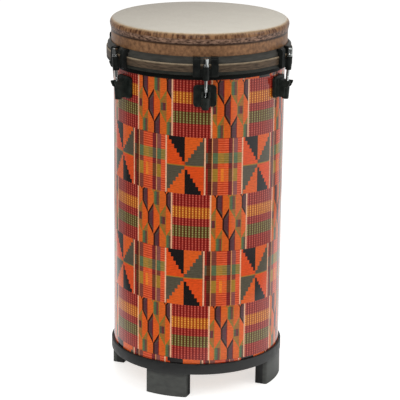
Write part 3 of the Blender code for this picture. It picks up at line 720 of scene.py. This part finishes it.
feet = {"count": 4, "first": 45.0, "width": 74.0, "depth": 24.0, "height": 42.0, "setBack": 0.4, "sunk": 2.0,
        "draft": 1.6, "cornerRound": 4.0, "backRound": 1.5, "backReach": 1.5, "edgeRound": 2.6,
        "arcSteps": 12, "ringWall": 3.7, "ringGap": 0.3, "ringFloor": 4.5, "lipRound": 1.6, "steps": 240}
low, high = boxOf("foot_ring")
ringSeat = wrapRadius + feet["ringGap"]
ringFace = ringSeat + feet["ringWall"]
ringBore = ringFace - feet["depth"]
ringFloor = feet["height"] + feet["ringFloor"]
outline = roundCorners([
    (ringFace, high.z, feet["lipRound"]),
    (ringFace, feet["height"], 0.8),
    (ringBore, feet["height"], 0.8),
    (ringBore, ringFloor, 0.8),
    (ringSeat, ringFloor, 0.2),
    (ringSeat, high.z, 0.6),
])
footRing = turnPiece("footRing", outline, feet["steps"])
footFace = ringFace - feet["setBack"]
footBack = ringBore - feet["backReach"]
footHalf = feet["width"] / 2
footTop = feet["height"] + feet["sunk"]
reach = math.degrees(math.asin(footHalf / footFace))
first, *middle, last = arcPoints(0, 0, footFace, -reach, reach, feet["arcSteps"])
footPlan = roundCorners([
    (*first, feet["cornerRound"]),
    *[(across, aside, 0) for across, aside in middle],
    (*last, feet["cornerRound"]),
    (footBack, footHalf, feet["backRound"]),
    (footBack, -footHalf, feet["backRound"]),
])
footTaper = (1 - 2 * feet["draft"] / feet["depth"], 1 - 2 * feet["draft"] / feet["width"], 1)
madeFeet = []
for number in range(feet["count"]):
    foot = pushPiece("foot", [(across, aside, footTop) for across, aside in footPlan], (0, 0, -footTop))
    selectOnly(foot)
    bpy.ops.object.mode_set(mode="EDIT")
    bpy.ops.mesh.select_all(action="DESELECT")
    shape = bmesh.from_edit_mesh(foot.data)
    for edge in shape.edges:
        edge.select_set(all(vertex.co.z < mm for vertex in edge.verts))
    bmesh.update_edit_mesh(foot.data)
    bpy.ops.transform.resize(value=footTaper, center_override=((ringBore + footFace) / 2 * mm, 0, 0))
    bpy.ops.mesh.bevel(offset=feet["edgeRound"] * mm, segments=4, profile=0.5)
    sealPiece(foot)
    turn = feet["first"] + 360 / feet["count"] * number
    foot.data.transform(Matrix.Rotation(math.radians(turn), 4, "Z"))
    madeFeet.append(foot)
smoothShade(combinePieces(footRing, madeFeet), 40)
dressPiece(footRing, "drum", "rubber", mouldedRubber, "foot_ring")
print("foot ring done")

# Baffle and tone tube, seen from below

baffle = {"bore": 63.8, "rounds": (0.8, 0.8, 0.8, 0.8), "steps": 192}
low, high = boxOf("baffle_plate")
bafflePlate = ringPiece("bafflePlate", high.x, baffle["bore"], low.z, high.z, baffle)
dressPiece(bafflePlate, "drum", "board", fibreBoard, "baffle_plate")

tone = {"wall": 3.0, "rounds": (1.0, 1.0, 1.0, 1.0), "steps": 144}
low, high = boxOf("tone_tube")
toneTube = ringPiece("toneTube", high.x, high.x - tone["wall"], low.z, high.z, tone)
dressPiece(toneTube, "drum", "paper_tube", woundPaper, "tone_tube")

# Tuning stations, modelled at +X and copied round

rodJoints = [joint for joint in frame["joints"] if joint["type"] == "hinge"]
stationTurns = [math.atan2(joint["pos_m"][1], joint["pos_m"][0]) for joint in rodJoints]
rodCircle = math.hypot(*rodJoints[0]["pos_m"][:2]) / mm
bossTop = rodJoints[0]["pos_m"][2] / mm
rodLean = math.acos(rodJoints[0]["axis"][2])
rodPlace = Matrix.Translation((rodCircle * mm, 0, bossTop * mm)) @ Matrix.Rotation(rodLean, 4, "Y")
rodRadius, rodBore = 2.75, 3.25


def rodAcross(height):  # how far out the rod's axis is at a height
    return rodCircle + (height - bossTop) * math.tan(rodLean)


def onRod(piece):
    piece.data.transform(rodPlace)
    return piece


def roundPost(name, radius, bottom, top, steps=48):
    return turnPiece(name, [(0, top), (radius, top), (radius, bottom), (0, bottom)], steps)


def copyRound(piece, label, bodies, slot, material, nodes):
    for number, (turn, body, node) in enumerate(zip(stationTurns, bodies, nodes), start=1):
        copy = piece.copy()
        copy.data = piece.data.copy()
        copy.name = copy.data.name = f"{label}{number}"
        bpy.context.scene.collection.objects.link(copy)
        copy.data.transform(Matrix.Rotation(turn, 4, "Z"))
        dressPiece(copy, body, slot, material, node)
    bpy.data.objects.remove(piece)


def sideOutline(points, half):  # (across, up) points as an outline on one side of the station
    return [(across, -half, up) for across, up in points]


claw = {"wall": 5.5, "rise": 1.5, "noseReach": 6.2, "shoulder": 5.0, "halfWidth": 20.8, "halfGap": 8.8,
        "barDrop": 1.5, "barHeight": 13.0, "barBehind": 1.0, "barShort": 2.0, "webInset": 0.4, "webSlim": 0.3,
        "bossRadius": 5.3, "bossHeight": 23.0, "seat": 0.35, "cutBelow": 3.0, "cutInside": 4.0,
        "holeLow": -60.0, "holeHigh": 30.0, "grain": 0.55, "passes": 5}
clawFace = bandFace + claw["wall"]
clawNose = bandFace - claw["noseReach"]
clawTop = hoopHigh + claw["rise"]
barLow = hoopLow - claw["barDrop"]
barHigh = barLow + claw["barHeight"]
hook = roundCorners([
    (clawNose, barLow, 0),
    (clawFace, barLow, 2.0),
    (clawFace, clawTop, claw["shoulder"]),
    (clawNose, clawTop, 1.5),
])
prongs = []
for side in (-1, 1):
    prong = pushPiece("prong", sideOutline(hook, 0), (0, claw["halfWidth"] - claw["halfGap"], 0))
    start = claw["halfGap"] if side > 0 else -claw["halfWidth"]
    prong.data.transform(Matrix.Translation((0, start * mm, 0)))
    prongs.append(prong)
barBack = bandFace - claw["noseReach"] / 2
barFace = clawFace - claw["barBehind"]
barHalf = claw["halfWidth"] - claw["barShort"]
bar = [(barBack, barLow), (barFace, barLow), (barFace, barHigh), (barBack, barHigh)]
clawPiece = pushPiece("clawPiece", sideOutline(bar, barHalf), (0, 2 * barHalf, 0))
webHalf = claw["bossRadius"] - claw["webSlim"]
webLow, webHigh = barLow + claw["webInset"], barHigh - claw["webInset"]
web = [(barBack, webLow), (rodAcross(barLow), webLow), (rodAcross(barHigh), webHigh), (barBack, webHigh)]
webPiece = pushPiece("web", sideOutline(web, webHalf), (0, 2 * webHalf, 0))
boss = onRod(roundPost("boss", claw["bossRadius"], -claw["bossHeight"], 0))
clearFace = bandFace + claw["seat"]
clearNeck = neck + claw["seat"]
clearance = turnPiece("clearance", [
    (rim + hoop["rimWidth"], hoopHigh + claw["seat"]),
    (clearNeck, hoopHigh - hoop["crownDrop"] + claw["seat"]),
    (clearNeck, bandTop + claw["seat"]),
    (clearFace, bandTop + claw["seat"]),
    (clearFace, barLow - claw["cutBelow"]),
    (rim - claw["cutInside"], barLow - claw["cutBelow"]),
    (rim - claw["cutInside"], hoopHigh + claw["seat"]),
], 360)
rodHole = onRod(roundPost("rodHole", rodBore, claw["holeLow"], claw["holeHigh"]))
combinePieces(clawPiece, [*prongs, webPiece, boss], [clearance, rodHole])
smoothShade(castSkin(clawPiece, claw["grain"], claw["passes"]), 60)
stations = range(1, 7)
copyRound(clawPiece, "claw", ["hoop"] * 6, "black_steel", powderCoat, [f"claw_{i}" for i in stations])
print("claws done")

washer = {"radius": 5.2, "bottom": 0.3, "top": 1.5, "rounds": (0.35, 0.35, 0.15, 0.15), "steps": 64}
washerPiece = ringPiece("washerPiece", washer["radius"], rodBore, washer["bottom"], washer["top"], washer)
copyRound(onRod(washerPiece), "rodWasher", ["hoop"] * 6, "chrome", brightChrome,
          [f"rod_washer_{i}" for i in stations])

# Tuning rod: a flange, a square key head and a thread cut into the lower end

rod = {"flangeLow": 1.8, "flangeRadius": 4.6, "flangeHeight": 2.0, "keyTurn": 20.0, "keySide": 6.4,
       "keyHeight": 9.7, "keyRound": 0.9, "keyCorner": 12, "length": 69.0, "thread": 34.0, "pitch": 25.4 / 24,
       "depth": 0.32, "rowsPerTurn": 8, "steps": 48}
flangeHigh = rod["flangeLow"] + rod["flangeHeight"]
keyHigh = flangeHigh + rod["keyHeight"]
rodEnd = rod["flangeLow"] - rod["length"]
threadRows = round(rod["thread"] / rod["pitch"] * rod["rowsPerTurn"])
half = rod["keySide"] / 2
outline = [
    (0, keyHigh),
    (half - rod["keyRound"], keyHigh),
    (half - rod["keyRound"] * 0.3, keyHigh - rod["keyRound"] * 0.3),
    (half, keyHigh - rod["keyRound"]),
    (half, flangeHigh + 0.5),
    (half + 0.4, flangeHigh),
    (rod["flangeRadius"] - 0.4, flangeHigh),
    (rod["flangeRadius"], flangeHigh - 0.4),
    (rod["flangeRadius"], rod["flangeLow"] + 0.3),
    (rod["flangeRadius"] - 0.3, rod["flangeLow"]),
    (rodRadius, rod["flangeLow"]),
    *[(rodRadius, rodEnd + rod["thread"] * (1 - row / threadRows)) for row in range(threadRows)],
    (rodRadius, rodEnd + 0.8),
    (rodRadius - 0.8, rodEnd),
    (0, rodEnd),
]
rodPiece = turnPiece("rodPiece", outline, rod["steps"])
for vertex in rodPiece.data.vertices:
    across, up = math.hypot(vertex.co.x, vertex.co.y), vertex.co.z / mm
    if across < mm * 0.01:
        continue
    turn = math.atan2(vertex.co.y, vertex.co.x)
    stretch = 1.0
    if up > flangeHigh + 0.1:  # the key: a square with rounded corners
        corner = rod["keyCorner"]
        stretch = (abs(math.cos(turn)) ** corner + abs(math.sin(turn)) ** corner) ** (-1 / corner)
    elif rodEnd + 0.9 < up < rodEnd + rod["thread"] - 0.01:  # the thread: a groove climbing one pitch a turn
        wave = math.cos(math.tau * (up / rod["pitch"] - turn / math.tau))
        stretch = 1 - rod["depth"] * (1 - wave) / 2 / rodRadius
    vertex.co.x *= stretch
    vertex.co.y *= stretch
rodPiece.data.transform(Matrix.Rotation(math.radians(rod["keyTurn"]), 4, "Z"))
onRod(smoothShade(rodPiece, 50))
copyRound(rodPiece, "tuningRod", [f"rod_{i}" for i in stations], "chrome", brightChrome,
          [f"tuning_rod_{i}" for i in stations])
print("rods done")

lug = {"plateWidth": 38.0, "plateTop": 547.3, "plateLow": 510.8, "plateWall": 4.5, "plateCorner": 6.0,
       "root": 135.0, "seat": 0.3, "armHalf": 7.5, "forkDrop": 7.0, "forkReach": 8.5, "forkTip": 2.5,
       "forkHeight": 10.5, "rootRise": 3.0, "barrelRadius": 5.6, "barrelLength": 21.0, "shoulder": 2.3,
       "footInset": 3.0, "pocket": 4.3, "slotHalf": 3.85, "slotReach": 30.0, "bore": 3.6, "cutPast": 20.0,
       "grain": 0.6, "passes": 5}
plateBack = wrapRadius + lug["seat"]
plateFace = plateBack + lug["plateWall"]
forkHigh = lug["plateTop"] - lug["forkDrop"]
barrelHigh = forkHigh - lug["forkHeight"]
barrelStart = (barrelHigh - bossTop) / math.cos(rodLean)
barrelEnd = barrelStart - lug["barrelLength"]
armLow = barrelHigh - lug["barrelLength"] + lug["footInset"]
sideways, corner = lug["plateWidth"] / 2, lug["plateCorner"]
outline = roundCorners([
    (sideways, lug["plateTop"], corner),
    (-sideways, lug["plateTop"], corner),
    (-sideways, lug["plateLow"], corner),
    (sideways, lug["plateLow"], corner),
], 6)
plate = [(lug["root"], aside, up) for aside, up in outline]
lugPiece = pushPiece("lugPiece", plate, (plateFace - lug["root"], 0, 0))
tip = rodAcross(forkHigh) + lug["forkReach"]
armPoints = [
    (plateBack, forkHigh + lug["rootRise"]),
    (plateFace, forkHigh + lug["rootRise"]),
    (rodAcross(forkHigh) - lug["barrelRadius"], forkHigh),
    (tip, forkHigh),
    (tip, forkHigh - lug["forkTip"]),
    (rodAcross(barrelHigh) + lug["barrelRadius"], barrelHigh),
    (rodAcross(barrelHigh), barrelHigh - lug["shoulder"] / 2),
    (rodAcross(armLow), armLow),
    (plateBack, armLow),
]
arm = pushPiece("arm", sideOutline(armPoints, lug["armHalf"]), (0, 2 * lug["armHalf"], 0))
barrel = onRod(roundPost("barrel", lug["barrelRadius"], barrelEnd, barrelStart))
slotHalf, slotReach, past = lug["slotHalf"], lug["slotReach"], lug["cutPast"]
slotPlan = ((-slotHalf, -slotHalf), (slotReach, -slotHalf), (slotReach, slotHalf), (-slotHalf, slotHalf))
slot = onRod(pushPiece("slot", [(*point, barrelStart) for point in slotPlan], (0, 0, slotReach)))
through = onRod(roundPost("through", lug["bore"], barrelEnd - past, barrelStart + past))
pocket = onRod(roundPost("pocket", lug["pocket"], barrelEnd - past, barrelStart - lug["shoulder"]))
seat = roundPost("seat", plateBack, lug["plateLow"] - past, lug["plateTop"] + past, 360)
combinePieces(lugPiece, [arm, barrel], [slot, through, pocket, seat])
smoothShade(castSkin(lugPiece, lug["grain"], lug["passes"]), 60)
copyRound(lugPiece, "lug", ["drum"] * 6, "black_steel", lugCoatSheen, [f"lug_{i}" for i in stations])
print("lugs done")

# Nodes that keep their CAD shape, inside or behind other pieces

kept = {"shell": pressedFibre, "bearing_ring": pressedFibre, "flesh_hoop": zincPlate,
        "lug_insert": turnedBrass, "lug_screw": zincPlate}
for name, node in frame["nodes"].items():
    for start, material in kept.items():
        if name.startswith(start) and name != "shell_wrap":
            node.data.materials.clear()
            node.data.materials.append(material)

# Floor, light and camera

# The drum stands on a white sweep, with a white backdrop behind it, a white panel at its right and a dim wall
# at its left. Gloss shows these, and past them the dark room. Lengths are in metres from here on
stage = {
    "floorSize": 14.0,
    "floorDrop": 0.0002,
    "floorTint": "F4F3F0",
    "floorGlow": 0.62,
    "floorGlowNear": (1.0, 0.5, 0.5),  # a glow from the floor close by, which lights the drum though the floor is no lamp: where it starts, is full, and how strong
    "skyTint": "FFFFFF",
    "skyOnObject": 0.45,
    # In gloss: the white sweep and floor close by, then the way to each wall, its edges and its glow
    "sweep": ((0.31, 0.43, 0.0), 0.88, 0.62),
    "close": ((0.2, -0.09, 0.0), 0.52, 0.36),
    "panel": ((0.843, -0.537, 0.0), 0.74, 0.81),
    "backdrop": ((0.462, 0.887, 0.0), 0.54, 0.78, 0.7),
    "leftWall": ((-0.5, 0.866, 0.0), 0.92, 0.985, 0.36),
    "roomGlow": 0.12,
    "shaded": (0.8, 1.25, 0.35),  # the panel dims on the floor from the outer distance to the inner one
    "under": (0.13, 0.18, 0.1),  # and the drum shades the floor under it
}


def studioGlow(add, heading, panelGlow):  # how bright a mirrored ray finds the walls, by where it leads
    heading = add("VectorMath", [heading], "NORMALIZE")
    shown = stage["roomGlow"]
    for side, edge, full, glow in ((*stage["panel"], panelGlow), stage["backdrop"], stage["leftWall"]):
        near = add("VectorMath", [heading, side], "DOT_PRODUCT").outputs["Value"]
        white = add("MapRange", {"Value": near, "From Min": edge, "From Max": full, "To Max": glow})
        shown = add("Math", [shown, white], "MAXIMUM")
    return shown


def inGloss(add, ray):  # whether a ray comes from a mirror or a clear coat
    kinds = [ray.outputs[kind] for kind in ("Is Glossy Ray", "Is Transmission Ray")]
    return add("Math", kinds, "MAXIMUM")


bpy.ops.object.select_all(action="DESELECT")
bpy.ops.mesh.primitive_plane_add(size=stage["floorSize"], location=(0, 0, -stage["floorDrop"]))
floor = bpy.context.object
floor.name = "floor"
material, tree, add, shader, place = startMaterial("paleFloor")
tree.nodes.remove(shader)
ray = add("LightPath")
matt = add("BsdfDiffuse", {"Color": hexColour(stage["floorTint"])})
near = add("VectorMath", [place], "LENGTH").outputs["Value"]
# Close by, the floor glows for all but camera rays: a painted glow that lights the drum
outer, inner, brightest = stage["floorGlowNear"]
lift = add("MapRange", {"Value": near, "From Min": outer, "From Max": inner, "To Max": brightest})
fromCamera = ray.outputs["Is Camera Ray"]
seen = add("MapRange", {"Value": fromCamera, "To Min": lift, "To Max": stage["floorGlow"]})
glow = add("Emission", {"Color": (1, 1, 1, 1), "Strength": seen})
both = add("AddShader", [matt, glow])
shades = []
for key in ("shaded", "under"):
    inner, outer, darkest = stage[key]
    shades.append(add("MapRange", {"Value": near, "From Min": inner, "From Max": outer, "To Min": darkest}))
shown = studioGlow(add, place, shades[0])
for key in ("sweep", "close"):
    centre, outer, inner = stage[key]
    off = add("VectorMath", [place, centre], "DISTANCE").outputs["Value"]
    white = add("MapRange", {"Value": off, "From Min": outer, "From Max": inner})
    shown = add("Math", [shown, white], "MAXIMUM")
shown = add("Math", [shown, shades[1]], "MULTIPLY")
mirrored = inGloss(add, ray)
both = add("MixShader", [mirrored, both, add("Emission", {"Strength": shown})])
below = add("NewGeometry").outputs["Backfacing"]
clear = add("MixShader", [below, both, add("BsdfTransparent")])  # no floor from underneath
tree.links.new(clear.outputs[0], tree.nodes["Material Output"].inputs["Surface"])
floor.data.materials.append(material)

world = bpy.data.worlds.new("studio")
bpy.context.scene.world = world
world.use_nodes = True
tree = world.node_tree
add = partial(addNode, tree)
ray = add("LightPath")
mirrored = inGloss(add, ray)
shown = studioGlow(add, add("TexCoord").outputs["Generated"], 1.0)
strength = add("MapRange", {"Value": mirrored, "To Min": stage["skyOnObject"], "To Max": shown})
fromCamera = ray.outputs["Is Camera Ray"]
strength = add("MapRange", {"Value": fromCamera, "To Min": strength, "To Max": 1.0})
sky = tree.nodes["Background"]
sky.inputs["Color"].default_value = hexColour(stage["skyTint"])
tree.links.new(strength.outputs[0], sky.inputs["Strength"])

lamps = {
    "keyLamp": {"place": (-1.2, -2.2, 2.2), "size": 1.3, "power": 16},
    "fillLamp": {"place": (2.0, -1.4, 2.1), "size": 1.4, "power": 16},
    "leftLamp": {"place": (-2.4, -0.3, 1.9), "size": 1.4, "power": 7},
    "topLamp": {"place": (0.1, 0.5, 2.4), "size": 1.2, "power": 9},
}
aim = Vector((0, 0, 0.33))
for name, lamp in lamps.items():
    bpy.ops.object.light_add(type="AREA", location=lamp["place"])
    made = bpy.context.object
    made.name = name
    made.data.shape = "DISK"
    made.data.size = lamp["size"]
    made.data.energy = lamp["power"]
    made.visible_camera = False
    made.rotation_euler = (aim - Vector(lamp["place"])).to_track_quat("-Z", "Y").to_euler()

lens = {"away": 2.9648, "height": 1.175, "pitch": 16.284, "yaw": 0.078, "roll": 0.673, "round": -24.5,
        "focal": 159.4, "sensor": 36.0}
pitch, yaw, roll = (math.radians(lens[key]) for key in ("pitch", "yaw", "roll"))
bpy.ops.object.camera_add()
camera = bpy.context.object
camera.data.lens = lens["focal"]
camera.data.sensor_width = lens["sensor"]
tilt = Matrix.Rotation(math.pi / 2 - pitch, 4, "X")
look = Matrix.Rotation(-yaw, 4, "Z") @ tilt @ Matrix.Rotation(roll, 4, "Z")
away = Matrix.Translation((0, -lens["away"], lens["height"]))
camera.matrix_world = Matrix.Rotation(math.radians(lens["round"]), 4, "Z") @ away @ look
bpy.context.scene.camera = camera
bpy.context.scene.view_settings.view_transform = "Standard"
